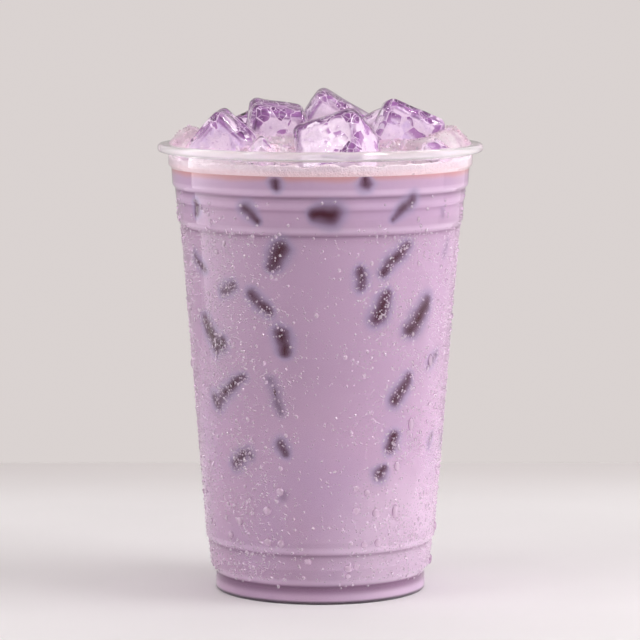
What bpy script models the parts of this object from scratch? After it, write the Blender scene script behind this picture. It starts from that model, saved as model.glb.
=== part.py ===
"""A clear cup of iced taro milk tea: ribbed cup, drink, froth and the ice cubes heaped above its rim.

Metres, +Z up. The origin is the middle of the cup's foot, on the surface that it stands on.
The photographed side looks towards -Y.
"""

import math

import bmesh
import bpy
from mathutils import Euler, Matrix, Vector, noise

MM = 0.001

# The cup, as radius and height of its bands in millimetres, from the rim down.
WALL = 0.6
RIM_TOP = 134.6
RIM_RADIUS = 48.75
LIP_UNDER = 132.3
COLLAR_TOP = 131.7
FOOT_RADIUS = 31.75
FOOT_RING_IN = 28.6
PUNT_RADIUS = 26.4
PUNT_HEIGHT = 1.8
FLOOR = 0.7
BANDS = (
    # radius and height at the band's top, then at its bottom
    (45.60, COLLAR_TOP, 45.55, 128.3),
    (44.65, 127.4, 44.35, 122.5),
    (43.55, 121.4, 43.25, 118.0),
    (43.00, 117.5, 42.80, 112.0),
    (41.80, 110.2, 34.35, 16.3),
    (33.70, 15.3, 33.10, 8.0),
)
FOOT_TOP = (31.55, 5.6)
SHOULDER = 1.3
CREASE = 0.0
LIP_ROUND = 0.95
STEPS = 48

# What the cup holds.
GAP = 0.3
LEVEL = 127.6
FROTH_SIDE = 43.7
FROTH_CREST = 8.6
FROTH_EDGE = 36.5
FROTH_SLOPE = 13.0
FROTH_SIDE_EDGE = 16.0
FROTH_SIDE_CREST = 2.0
FROTH_RINGS = 5
FROTH_BUMP = 0.9
FROTH_BUMP_SCALE = 0.16

# Each ice cube: middle, edge lengths and turns about X, Y and Z, in millimetres and degrees.
ICE = {
    "ice_left": ((-29.9, -10.8, 134.3), (15.5, 15.5, 19.0), (6, 42, -4)),
    "ice_mid_left": ((-14.0, 6.0, 136.3), (17.0, 16.0, 20.0), (10, 9, 8)),
    "ice_back": ((3.8, 28.0, 135.9), (22.0, 18.5, 21.0), (4, 31, 0)),
    "ice_front": ((5.2, -23.8, 132.1), (21.4, 19.0, 19.8), (-32, -17.5, -19)),
    "ice_right": ((24.6, 0.6, 135.0), (20.5, 18.5, 21.0), (-4, 25, 3)),
    "ice_middle": ((2.8, 3.6, 133.6), (11.0, 11.5, 12.0), (12, -14, 24)),
    "ice_back_right": ((29.4, 20.6, 133.4), (11.5, 12.0, 12.0), (24, 38, 40)),
    "ice_back_left": ((-22.4, 26.2, 133.4), (15.0, 14.0, 14.5), (28, -20, 38)),
    "ice_far_left": ((-33.0, 9.0, 131.6), (11.5, 12.0, 12.0), (20, 24, -18)),
    "ice_chip_back": ((17.6, 14.4, 139.2), (7.5, 6.0, 8.5), (8, -28, 6)),
    "ice_chip_left": ((-16.5, -29.0, 132.4), (8.5, 7.5, 8.0), (30, 36, 22)),
    "ice_chip_right": ((33.6, -18.0, 131.5), (8.0, 7.5, 9.0), (18, 34, -28)),
}
ICE_ROUND = 0.16
ICE_BEVEL_STEPS = 2
ICE_WARP = 0.9
ICE_WARP_SCALE = 0.11
ICE_SEED = 1795866478

# Colours as linear red, green and blue.
CLEAR = (0.90, 0.90, 0.92, 0.3)
TARO = (0.50, 0.29, 0.48, 1.0)
FROTH = (0.72, 0.52, 0.68, 1.0)
ICE_TINT = (0.74, 0.58, 0.80, 0.6)


def clear_scene():
    for obj in list(bpy.data.objects):
        bpy.data.objects.remove(obj)


def collection(name):
    made = bpy.data.collections.new(name)
    bpy.context.scene.collection.children.link(made)
    return made


def material(name, colour, roughness, transmission=0.0):
    made = bpy.data.materials.new(name)
    made.use_nodes = True
    shader = made.node_tree.nodes["Principled BSDF"]
    shader.inputs["Base Color"].default_value = (*colour[:3], 1.0)
    shader.inputs["Alpha"].default_value = colour[3]
    shader.inputs["Roughness"].default_value = roughness
    shader.inputs["Metallic"].default_value = 0.0
    shader.inputs["Transmission Weight"].default_value = transmission
    return made


def arc_round(before, corner, after, radius, steps):
    """The points of an arc of this radius that rounds the corner between its two neighbours."""
    back = (before - corner).normalized()
    ahead = (after - corner).normalized()
    half = back.angle(ahead) / 2
    reach = min(radius / math.tan(half), (before - corner).length * 0.49, (after - corner).length * 0.49)
    centre = corner + (back + ahead).normalized() * (reach / math.cos(half))
    start = corner + back * reach - centre
    end = corner + ahead * reach - centre
    sweep = start.angle_signed(end)
    turn = [Matrix.Rotation(-sweep * i / steps, 2) for i in range(steps + 1)]
    return [centre + m @ start for m in turn]


def rounded(corners, steps):
    """The outline through corners, each (radius, height, rounding), with its round corners as arcs."""
    places = [Vector(c[:2]) for c in corners]
    line = []
    for i, (r, z, rounding) in enumerate(corners):
        if rounding and 0 < i < len(corners) - 1:
            line += arc_round(places[i - 1], places[i], places[i + 1], rounding, steps)
        else:
            line.append(Vector((r, z)))
    return line


def side_corners(inset):
    """The corners of the cup's side, from the collar down to the foot, moved in by inset."""
    corners = []
    for top_r, top_z, low_r, low_z in BANDS:
        corners.append((top_r - inset, top_z + inset / 2, CREASE))
        corners.append((low_r - inset, low_z + inset / 2, SHOULDER))
    corners.append((FOOT_TOP[0] - inset, FOOT_TOP[1] + inset / 2, CREASE))
    return corners


def inner_floor(lift):
    """The corners of the floor inside the cup, from the side to the middle, lift above its wall."""
    ring = FOOT_RADIUS - WALL - lift
    return [
        (ring, FLOOR + lift, 1.0),
        (PUNT_RADIUS + 1.0, FLOOR + lift, 0.0),
        (PUNT_RADIUS, PUNT_HEIGHT + FLOOR + lift, 0.0),
        (0.0, PUNT_HEIGHT + FLOOR + lift, 0.0),
    ]


def cup_outline():
    """The cup's closed section, from the middle of its inner floor over the rim to its underside."""
    inner = [*side_corners(WALL), *inner_floor(0.0)]
    rim = [
        (BANDS[0][0] - WALL, RIM_TOP, 0.45),
        (RIM_RADIUS, RIM_TOP, LIP_ROUND),
        (RIM_RADIUS, LIP_UNDER, LIP_ROUND),
    ]
    outer = side_corners(0.0)
    under = [
        (FOOT_RADIUS, 0.0, 0.8),
        (FOOT_RING_IN, 0.0, 0.0),
        (PUNT_RADIUS, PUNT_HEIGHT, 0.0),
        (0.0, PUNT_HEIGHT, 0.0),
    ]
    inside = list(reversed(rounded(inner, 1)))
    outside = rounded([inner[0], *rim, *outer, *under], 2)
    return inside + outside[1:]


def drink_outline():
    """The drink's section, from the middle of its top down its side to the middle of the floor."""
    inset = WALL + GAP
    side = [(r, z, rounding) for r, z, rounding in side_corners(inset) if z < LEVEL - 1]
    top_radius = BANDS[1][0] - inset
    corners = [
        (0.0, LEVEL - GAP, 0.0),
        (top_radius, LEVEL - GAP, 0.0),
        *side[1:],
        *inner_floor(GAP),
    ]
    return rounded(corners, 1)


def froth_outline():
    """The froth's section as a flat disc. froth_height then lifts the points of its top."""
    rings = [(FROTH_SIDE * i / FROTH_RINGS, LEVEL + 1.0) for i in range(FROTH_RINGS + 1)]
    return [Vector(p) for p in [*rings, (FROTH_SIDE, LEVEL), (0.0, LEVEL)]]


def froth_height(x, y):
    """How high the froth's top stands at a place, in millimetres. It is highest at the cup's sides."""
    radius = math.hypot(x, y)
    sideways = abs(x) / max(radius, 0.001)
    edge = FROTH_EDGE + FROTH_SIDE_EDGE * sideways**6
    crest = FROTH_CREST + FROTH_SIDE_CREST * sideways**6
    rise = min(1.0, max(0.0, (edge - radius) / FROTH_SLOPE))
    smooth = rise * rise * (3 - 2 * rise)
    bump = noise.noise(Vector((x, y, 0)) * FROTH_BUMP_SCALE) * FROTH_BUMP
    return LEVEL + 0.7 + (crest + bump) * smooth


def turned(name, outline, target, finish):
    """A solid of revolution from its outline in millimetres."""
    mesh = bpy.data.meshes.new(name)
    points = [(p.x * MM, 0.0, p.y * MM) for p in outline]
    mesh.from_pydata(points, [(i, i + 1) for i in range(len(points) - 1)], [])
    obj = bpy.data.objects.new(name, mesh)
    target.objects.link(obj)
    screw = obj.modifiers.new("turn", "SCREW")
    screw.axis = "Z"
    screw.angle = math.tau
    screw.steps = STEPS
    screw.render_steps = STEPS
    screw.use_merge_vertices = True
    screw.merge_threshold = 0.00001
    screw.use_smooth_shade = True
    bpy.context.view_layer.update()
    obj.data = bpy.data.meshes.new_from_object(obj.evaluated_get(bpy.context.evaluated_depsgraph_get()))
    obj.data.name = name
    obj.modifiers.clear()
    obj.data.materials.append(finish)
    obj.data.set_sharp_from_angle(angle=math.radians(40))
    return obj


def ice_cube(name, middle, edges, turns, grow, target):
    """A rounded, slightly melted block of ice. grow is added to each of its sides, in millimetres."""
    form = bmesh.new()
    bmesh.ops.create_cube(form, size=1.0)
    bmesh.ops.scale(form, vec=Vector([(e + 2 * grow) * MM for e in edges]), verts=form.verts)
    seat = Vector(middle)
    for corner in form.verts:
        pull = noise.noise_vector((corner.co.normalized() * 40 + seat) * ICE_WARP_SCALE)
        corner.co += pull * ICE_WARP * MM
    bmesh.ops.bevel(
        form,
        geom=[*form.verts, *form.edges],
        offset=min(edges) * ICE_ROUND * MM,
        segments=ICE_BEVEL_STEPS,
        profile=0.5,
        affect="EDGES",
    )
    bmesh.ops.recalc_face_normals(form, faces=form.faces)
    mesh = bpy.data.meshes.new(name)
    form.to_mesh(mesh)
    form.free()
    mesh.shade_smooth()
    obj = bpy.data.objects.new(name, mesh)
    obj.location = seat * MM
    obj.rotation_euler = Euler([math.radians(t) for t in turns])
    target.objects.link(obj)
    return obj


def cut_round_ice(obj, sockets):
    """Takes the room of every ice cube, and a hair more, out of obj."""
    cut = obj.modifiers.new("ice room", "BOOLEAN")
    cut.operation = "DIFFERENCE"
    cut.operand_type = "COLLECTION"
    cut.collection = sockets
    cut.solver = "EXACT"


def build():
    clear_scene()
    parts = collection("taro_bubble_tea")
    sockets = collection("ice_sockets")

    turned("cup", cup_outline(), parts, material("clear_plastic", CLEAR, 0.05, 1.0))
    drink = turned("drink", drink_outline(), parts, material("taro_milk_tea", TARO, 0.25))
    froth = turned("froth", froth_outline(), parts, material("milk_froth", FROTH, 0.4))
    for point in froth.data.vertices:
        if point.co.z > (LEVEL + 0.5) * MM:
            point.co.z = froth_height(point.co.x / MM, point.co.y / MM) * MM

    ice = material("ice", ICE_TINT, 0.08, 0.9)
    noise.seed_set(ICE_SEED)
    for name, (middle, edges, turns) in ICE.items():
        cube = ice_cube(name, middle, edges, turns, 0.0, parts)
        cube.data.materials.append(ice)
        socket = ice_cube(name + "_room", middle, edges, turns, GAP, sockets)
        socket.hide_render = True
        socket.display_type = "WIRE"
    cut_round_ice(drink, sockets)
    cut_round_ice(froth, sockets)


build()
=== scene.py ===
import math

import bmesh
import bpy
import numpy as np
from mathutils import Euler, Matrix, Vector, noise


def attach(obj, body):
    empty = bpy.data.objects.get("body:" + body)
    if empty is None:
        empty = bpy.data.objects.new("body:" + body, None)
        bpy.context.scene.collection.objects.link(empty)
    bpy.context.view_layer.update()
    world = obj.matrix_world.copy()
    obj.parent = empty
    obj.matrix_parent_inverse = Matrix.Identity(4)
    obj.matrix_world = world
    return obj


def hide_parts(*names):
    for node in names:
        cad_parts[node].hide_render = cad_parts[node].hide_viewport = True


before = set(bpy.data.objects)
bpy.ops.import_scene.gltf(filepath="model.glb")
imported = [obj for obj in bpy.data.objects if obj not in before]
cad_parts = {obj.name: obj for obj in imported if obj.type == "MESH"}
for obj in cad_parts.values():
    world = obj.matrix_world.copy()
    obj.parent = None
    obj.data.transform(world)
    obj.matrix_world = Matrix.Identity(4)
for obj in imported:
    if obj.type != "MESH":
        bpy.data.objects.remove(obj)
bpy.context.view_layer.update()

MM = 0.001

# The cup's bands, in millimetres, as in the frame: radius and height at a band's top, then at its bottom.
WALL = 0.6
RIM_TOP = 134.6
RIM_RADIUS = 48.75
LIP_UNDER = 132.3
COLLAR_TOP = 131.7
FOOT_RADIUS = 31.75
FOOT_RING_IN = 28.6
PUNT_RADIUS = 26.4
PUNT_HEIGHT = 1.8
FLOOR = 0.7
BANDS = (
    (45.60, COLLAR_TOP, 45.55, 128.3),
    (44.65, 127.4, 44.35, 122.5),
    (43.55, 121.4, 43.25, 118.0),
    (43.00, 117.5, 42.80, 112.0),
    (41.80, 110.2, 34.35, 16.3),
    (33.70, 15.3, 33.10, 8.0),
)
FOOT_TOP = (31.55, 5.6)
SHOULDER = 1.3
CREASE = 0.3
LIP_ROUND = 1.0
CUP_STEPS = 256
ARC_STEPS = 6
MILK_STEP = 0.45
STEP_EASE = 2.6
INSIDE_RIM = 45.0

# How strongly the painted highlight and shade line under a band show on the drink, by the band's lower
# height. The rest show in full.
LEDGE_DEPTHS = {BANDS[0][3]: 0.12, BANDS[2][3]: 0.5}

# The drink and its froth.
LEVEL = 127.6
# Middle of a painted pool of light on the drink's lower front right, in millimetres.
PAINTED_LIGHT_PLACE = (24.0, -24.0, 18.0)
MILK_LEVEL = 127.5
INTO_WALL = 0.3
FROTH_CREST = 8.6
FROTH_SIDE_CREST = 2.0
FROTH_EDGE = 36.5
FROTH_SLOPE = 13.0
FROTH_SIDE_EDGE = 16.0
FROTH_BUMP = 0.9
FROTH_BUMP_SCALE = 0.16
FROTH_RINGS = 90
FROTH_SIDES = 288
FROTH_SUNK = 3.4
FROTH_LINE = 130.6

# Each ice cube, as in the frame: middle, edge lengths and turns.
ICE = {
    "ice_left": ((-29.9, -10.8, 134.3), (15.5, 15.5, 19.0), (6, 42, -4)),
    "ice_mid_left": ((-14.0, 6.0, 136.3), (17.0, 16.0, 20.0), (10, 9, 8)),
    "ice_back": ((3.8, 28.0, 135.9), (22.0, 18.5, 21.0), (4, 31, 0)),
    "ice_front": ((5.2, -23.8, 132.1), (21.4, 19.0, 19.8), (-32, -17.5, -19)),
    "ice_right": ((24.6, 0.6, 135.0), (20.5, 18.5, 21.0), (-4, 25, 3)),
    "ice_middle": ((2.8, 3.6, 133.6), (11.0, 11.5, 12.0), (12, -14, 24)),
    "ice_back_right": ((29.4, 20.6, 133.4), (11.5, 12.0, 12.0), (24, 38, 40)),
    "ice_back_left": ((-22.4, 26.2, 133.4), (15.0, 14.0, 14.5), (28, -20, 38)),
    "ice_far_left": ((-33.0, 9.0, 131.6), (11.5, 12.0, 12.0), (20, 24, -18)),
    "ice_chip_back": ((17.6, 14.4, 139.2), (7.5, 6.0, 8.5), (8, -28, 6)),
    "ice_chip_left": ((-16.5, -29.0, 132.4), (8.5, 7.5, 8.0), (30, 36, 22)),
    "ice_chip_right": ((33.6, -18.0, 131.5), (8.0, 7.5, 9.0), (18, 34, -28)),
}
ICE_ROUND = 0.16
ICE_WARP = 0.9
ICE_WARP_SCALE = 0.11
# The seed of the cubes' warp, the same as in the part's source.
ICE_SEED = 1795866478
ICE_CORE_INSET = 1.2
ICE_CORE_ROUND = 0.09
BIG_ICE = 10.0
SMALL_ICE_LIFT = 0.42

# The dark pieces in the drink that show at the front: angle from the front in degrees, height, length, lean
# in degrees, width and strength. A lean of 90 lies flat, and a positive one has its lower end to the right.
SUNK = (
    (-17, 125, 3.4, 0, 2.0, 0.95), (17, 126, 3.4, 3, 2.2, 1.0), (-58, 116.5, 4.6, -11, 1.8, 0.9),
    (-28, 116, 7.6, 48, 2.4, 0.8), (1, 116.3, 9.6, 90, 4.2, 1.0), (34, 117.5, 11, -49, 2.5, 0.75),
    (57, 115.5, 3, 4, 1.4, 0.35), (-60, 100, 8.5, 57, 2.6, 0.7), (-42, 93.7, 7, -61, 2.6, 0.8),
    (-18, 103.5, 10, -28, 3.8, 1.0), (-26, 90, 10.4, 48, 2.6, 0.85), (-55, 79.6, 13, 34, 3.8, 0.95),
    (-48.5, 76.8, 5.4, -40, 3.2, 0.85), (-16, 78.6, 9.0, 14, 3.3, 1.0), (-45, 64, 17, -51, 2.6, 0.8),
    (-54, 59, 6, 35, 2.6, 0.75), (-20, 62.7, 12.5, 16, 2.3, 0.5), (-41, 43, 7.4, -42, 2.7, 0.85),
    (-35, 44.7, 4, 52, 2.4, 0.6), (-17.5, 47, 5.6, 21, 2.3, 0.8), (-18, 33, 3, -2, 1.8, 0.35),
    (17, 97.7, 7.2, 2, 2.4, 0.85), (32, 103, 13.6, -47, 3.0, 0.85), (27, 89, 11, -23, 3.5, 1.0),
    (47, 85, 14, -41, 4.6, 0.9), (50.5, 88.5, 6.5, -30, 3.6, 0.8), (64, 104.7, 5.6, -22, 1.5, 0.4),
    (60, 72, 6.8, -52, 2.2, 0.6), (39.5, 64.2, 11, -38, 3.0, 0.95), (35, 48.4, 6.6, -26, 2.7, 0.95),
    (30, 40.0, 4.6, -25, 2.8, 0.85), (63.5, 47.5, 5, -26, 1.8, 0.5),
)
SUNK_SPREAD = 84
SUNK_HIDDEN = 38
SUNK_SEED = 5
SUNK_THICK = 0.42
SUNK_SIDES = 12
SUNK_RINGS = 9

# Water beads on the outside.
BEAD_SEED = 11
FINE_BEADS = 27000
SMALL_BEADS = 2200
LARGE_DROPS = (
    # angle, height, width and how much taller than wide
    (-26.3, 28.2, 2.3, 1.0), (-42.7, 24.2, 1.9, 1.1), (-19.3, 34.2, 1.9, 1.0), (-26.5, 18.8, 2.1, 1.0),
    (-19.5, 18.5, 1.8, 1.1), (-50, 19.5, 1.8, 1.0), (-6.2, 13.3, 1.8, 0.9), (27.7, 27.5, 2.2, 1.0),
    (38.7, 27.5, 1.9, 1.9), (17.2, 28.6, 1.9, 1.0), (29.5, 18.4, 2.0, 1.1), (21.9, 18.2, 1.8, 1.0),
    (14.1, 11.1, 2.1, 1.0), (18.3, 11.5, 1.6, 1.0), (14.2, 8.8, 1.5, 1.0), (45.8, 53.2, 2.0, 1.6),
    (38.4, 41.1, 1.8, 1.4), (56.8, 71.6, 1.8, 1.7), (17, 35.2, 1.7, 1.0), (22.5, 33.8, 1.7, 1.1),
)
HIDDEN_DROPS = 34
HIDDEN_DROP_RANGES = ((70, 290), (8, 75), (1.4, 2.5), (0.9, 1.8))
WATER_IOR = 1.33

# Loose crumbs of ice and bubbles on the froth.
CRUMB_SEED = 23
CRUMBS = 520
CRUMB_REACH = 43.3
BUBBLES = 1400
BUBBLE_REACH = 44.2
HEAP_CHIPS = 90
HEAP_BUBBLES = 26
HEAP_PLACE = (-15.5, -28.5, 130.5)
HEAP_REACH = (8.5, 4.5, 5.0)

# The photograph's view: a long lens about 1.04 m in front of the cup and a little above it.
CAMERA_PLACE = (-0.0001, -1.0445, 0.1956)
CAMERA_AIM = (-0.0001, 0.0, 0.0812)
LENS = 196.2
SENSOR = 36.0

# The light, and the table in metres. The wall's light counts for less on matt faces and in gloss.
AMBIENT = 0.76
GLOSS_AMBIENT = 0.6
LAMP_SPREAD = 100.0
LAMP_SIZE = (0.5, 0.36)
TABLE_WIDTH = 2.4
TABLE_NEAR = -1.5
TABLE_FAR = 0.25
TABLE_CUTS = 8

# Colours as linear red, green and blue.
MILK = (0.570, 0.394, 0.545)
MILK_COOL = (0.545, 0.382, 0.545)
MILK_MID_SHADE = (0.515, 0.357, 0.500)
MILK_PAINTED_LIGHT = (0.675, 0.530, 0.655)
MILK_TOP = (0.620, 0.335, 0.345)
MILK_GRAIN = (0.430, 0.270, 0.420)
LEDGE_HIGHLIGHT = (0.950, 0.800, 0.940)
LEDGE_SHADE = (0.140, 0.060, 0.120)
STEP_SHADE = (0.240, 0.120, 0.220)
FOOT_SHADE = (0.030, 0.015, 0.025)
SUNK_HALO = (0.440, 0.370, 0.570)
SUNK_NEAR = (0.230, 0.095, 0.215)
SUNK_CORE = (0.060, 0.002, 0.018)
SUNK_WARM = (0.100, 0.030, 0.050)
FROTH_PALE = (0.860, 0.745, 0.815)
FROTH_PINK = (0.760, 0.550, 0.680)
FROTH_DARK_PATCH = (0.500, 0.300, 0.460)
FROTH_BAND = (0.750, 0.620, 0.680)
FROTH_LOW = (0.800, 0.590, 0.640)
FROTH_CELL = (0.900, 0.820, 0.880)
BUBBLE_PALE = (0.950, 0.880, 0.930)
BUBBLE_PINK = (0.900, 0.740, 0.780)
CRUMB_PALE = (0.970, 0.900, 0.950)
CRUMB_LILAC = (0.840, 0.680, 0.820)
ICE_TINT = (0.875, 0.785, 0.880, 1.0)
ICE_PALE = (0.775, 0.685, 0.770)
ICE_PINK = (0.805, 0.705, 0.765)
ICE_LILAC = (0.700, 0.570, 0.770)
ICE_SHADE = (0.450, 0.250, 0.480)
ICE_DARK = (0.085, 0.022, 0.095)
ICE_MID = (0.250, 0.105, 0.275)
ICE_LINE_AND_HIGHLIGHT = (0.900, 0.800, 0.880)
ICE_WHITE = (0.970, 0.930, 0.970)
ICE_SPECK = (0.980, 0.950, 0.980)
CUP_CLEAR = (0.985, 0.985, 0.990, 1.0)
LIP_CLEAR = (1.000, 0.985, 0.995)
LIP_TINT = (0.960, 0.945, 0.955)
MIST_MILKY = (0.820, 0.660, 0.800)
MIST_BRIGHT = (0.990, 0.930, 0.980)
BEAD_PALE = (0.910, 0.790, 0.890)
BEAD_MILKY = (0.820, 0.670, 0.800)
BEAD_RIM_SHADE = (0.500, 0.340, 0.480)
DROP_PALE = (0.820, 0.665, 0.800)
DROP_MILKY = (0.720, 0.550, 0.700)
DROP_RIM_SHADE = (0.400, 0.240, 0.380)
WALL_COLOUR = (0.700, 0.648, 0.637)
TABLE_COLOUR = (0.950, 0.935, 0.945)


def node_of(tree, kind, **values):
    made = tree.nodes.new(kind)
    for key, value in values.items():
        setattr(made, key, value)
    return made


class Graph:
    """A small helper that adds nodes to a material and links them."""

    def __init__(self, name):
        self.material = bpy.data.materials.new(name)
        self.material.use_nodes = True
        self.tree = self.material.node_tree
        self.shader = self.tree.nodes["Principled BSDF"]

    def add(self, kind, **values):
        return node_of(self.tree, kind, **values)

    def link(self, source, target):
        if hasattr(source, "links") or isinstance(source, bpy.types.NodeSocket):
            self.tree.links.new(source, target)
        else:
            target.default_value = source

    def place(self, scale=1000.0):
        """The point on the piece, in millimetres when scale is 1000."""
        coord = self.add("ShaderNodeTexCoord")
        mapping = self.add("ShaderNodeMapping")
        mapping.inputs["Scale"].default_value = (scale, scale, scale)
        self.tree.links.new(coord.outputs["Object"], mapping.inputs["Vector"])
        return mapping.outputs["Vector"]

    def noise(self, vector, scale, detail=2.0, rough=0.5, colour=False):
        """Smooth noise with the given detail."""
        made = self.add("ShaderNodeTexNoise")
        self.tree.links.new(vector, made.inputs["Vector"])
        made.inputs["Scale"].default_value = scale
        made.inputs["Detail"].default_value = detail
        made.inputs["Roughness"].default_value = rough
        return made.outputs["Color" if colour else "Fac"]

    def voronoi(self, vector, scale, feature="F1"):
        made = self.add("ShaderNodeTexVoronoi", feature=feature)
        self.tree.links.new(vector, made.inputs["Vector"])
        made.inputs["Scale"].default_value = scale
        return made.outputs

    def maths(self, operation, first, second=0.0, third=None, clamp=False):
        made = self.add("ShaderNodeMath", operation=operation, use_clamp=clamp)
        self.link(first, made.inputs[0])
        self.link(second, made.inputs[1])
        if third is not None:
            self.link(third, made.inputs[2])
        return made.outputs[0]

    def times(self, first, second, clamp=False):
        return self.maths("MULTIPLY", first, second, clamp=clamp)

    def ramp(self, value, low, high, start=0.0, end=1.0):
        """value taken smoothly from low to high, and given as start to end."""
        made = self.add("ShaderNodeMapRange", interpolation_type="SMOOTHSTEP")
        self.link(value, made.inputs["Value"])
        made.inputs["From Min"].default_value = low
        made.inputs["From Max"].default_value = high
        made.inputs["To Min"].default_value = start
        made.inputs["To Max"].default_value = end
        return made.outputs["Result"]

    def mix(self, amount, first, second):
        """Two colours mixed. Each is a socket or three numbers."""
        made = self.add("ShaderNodeMix", data_type="RGBA")
        self.link(amount, made.inputs["Factor"])
        for colour, socket in ((first, made.inputs["A"]), (second, made.inputs["B"])):
            self.link((*colour, 1.0) if isinstance(colour, tuple) else colour, socket)
        return made.outputs["Result"]

    def attribute(self, name):
        return self.add("ShaderNodeAttribute", attribute_name=name).outputs["Fac"]

    def separate(self, vector):
        made = self.add("ShaderNodeSeparateXYZ")
        self.tree.links.new(vector, made.inputs[0])
        return made.outputs

    def bump(self, height, strength, distance=0.001):
        made = self.add("ShaderNodeBump")
        made.inputs["Strength"].default_value = strength
        made.inputs["Distance"].default_value = distance
        self.tree.links.new(height, made.inputs["Height"])
        self.tree.links.new(made.outputs["Normal"], self.shader.inputs["Normal"])

    def set(self, **values):
        """The shader's inputs by name, with _ for a space. Each is a socket or a constant value."""
        for key, value in values.items():
            self.link(value, self.shader.inputs[key.replace("_", " ")])


def mesh_of(name, points, faces):
    """A mesh from points in millimetres and faces, either triangles in an array or any faces in a list."""
    mesh = bpy.data.meshes.new(name)
    if isinstance(faces, np.ndarray):
        mesh.vertices.add(len(points))
        mesh.vertices.foreach_set("co", (np.asarray(points) * MM).astype(np.float32).ravel())
        sides = faces.shape[1]
        mesh.loops.add(faces.size)
        mesh.loops.foreach_set("vertex_index", faces.ravel().astype(np.int32))
        mesh.polygons.add(len(faces))
        mesh.polygons.foreach_set("loop_start", np.arange(0, faces.size, sides, dtype=np.int32))
        mesh.update(calc_edges=True)
        mesh.validate()
    else:
        mesh.from_pydata([tuple(c * MM for c in p) for p in points], [], faces)
    mesh.shade_smooth()
    return mesh


def mark(mesh, name, values, on="POINT"):
    """Keeps a number for each point or face, for the look to read."""
    mesh.attributes.new(name, "FLOAT", on).data.foreach_set("value", np.array(values, np.float32))


def arrays_of(form):
    """The corners and faces of a bmesh, which is freed."""
    corners = np.array([v.co[:] for v in form.verts])
    sides = np.array([[v.index for v in f.verts] for f in form.faces])
    form.free()
    return corners, sides


def piece(name, mesh, finish, nodes=()):
    """An object that shows, rides on the part and may stand for nodes of the frame."""
    obj = bpy.data.objects.new(name, mesh)
    bpy.context.scene.collection.objects.link(obj)
    mesh.materials.append(finish)
    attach(obj, "root")
    if nodes:
        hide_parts(*nodes)
    return obj


def arc_round(before, corner, after, radius, steps):
    back = (before - corner).normalized()
    ahead = (after - corner).normalized()
    half = back.angle(ahead) / 2
    reach = min(radius / math.tan(half), (before - corner).length * 0.49, (after - corner).length * 0.49)
    centre = corner + (back + ahead).normalized() * (reach / math.cos(half))
    start = corner + back * reach - centre
    end = corner + ahead * reach - centre
    sweep = start.angle_signed(end)
    return [centre + Matrix.Rotation(-sweep * i / steps, 2) @ start for i in range(steps + 1)]


def rounded(corners, steps):
    places = [Vector(c[:2]) for c in corners]
    line = []
    for i, (r, z, rounding) in enumerate(corners):
        if rounding and 0 < i < len(corners) - 1:
            line += arc_round(places[i - 1], places[i], places[i + 1], rounding, steps)
        else:
            line.append(Vector((r, z)))
    return line


def side_corners(inset):
    corners = []
    for top_r, top_z, low_r, low_z in BANDS:
        corners.append((top_r - inset, top_z + inset / 2, CREASE))
        corners.append((low_r - inset, low_z + inset / 2, SHOULDER))
    corners.append((FOOT_TOP[0] - inset, FOOT_TOP[1] + inset / 2, CREASE))
    return corners


def soft_side_corners(inset):
    """The same bands on the inside of the wall, where each step is a long soft slope."""
    corners = []
    for top_r, top_z, low_r, low_z in BANDS:
        ease = min(STEP_EASE, (top_z - low_z) * 0.55)
        corners.append((top_r - inset, top_z + inset / 2, 1.2))
        corners.append((low_r - inset, low_z + ease, 3.0))
    corners.append((FOOT_TOP[0] - inset, FOOT_TOP[1] + inset / 2, 0.8))
    return corners


def inner_floor(side, lift):
    ring = FOOT_RADIUS - side
    return [
        (ring, lift, 1.0),
        (PUNT_RADIUS + 1.0, lift, 0.0),
        (PUNT_RADIUS, PUNT_HEIGHT + lift, 0.0),
        (0.0, PUNT_HEIGHT + lift, 0.0),
    ]


def cup_outline():
    inner = [*soft_side_corners(WALL), *inner_floor(WALL, FLOOR)]
    rim = [
        (BANDS[0][0] - WALL, RIM_TOP, 0.45),
        (RIM_RADIUS, RIM_TOP, LIP_ROUND),
        (RIM_RADIUS, LIP_UNDER, LIP_ROUND),
    ]
    under = [
        (FOOT_RADIUS, 0.0, 0.8),
        (FOOT_RING_IN, 0.0, 0.3),
        (PUNT_RADIUS, PUNT_HEIGHT, 0.5),
        (0.0, PUNT_HEIGHT, 0.0),
    ]
    inside = list(reversed(rounded(inner, ARC_STEPS)))
    outside = rounded([inner[0], *rim, *side_corners(0.0), *under], ARC_STEPS)
    return inside + outside[1:]


def milk_outline():
    side = [c for c in soft_side_corners(INTO_WALL) if c[1] < MILK_LEVEL]
    side.insert(0, (BANDS[1][0] - INTO_WALL - 0.02, MILK_LEVEL - 0.3, 0.0))
    corners = [
        (0.0, MILK_LEVEL, 0.0),
        (side[0][0], MILK_LEVEL, 0.0),
        *side,
        *inner_floor(INTO_WALL, FLOOR / 2),
    ]
    return rounded(corners, ARC_STEPS)


def closer(line, step):
    """The same line with points no further apart than step."""
    out = [line[0]]
    for a, b in zip(line, line[1:]):
        parts = max(1, math.ceil((b - a).length / step))
        out += [a.lerp(b, i / parts) for i in range(1, parts + 1)]
    return out


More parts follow.
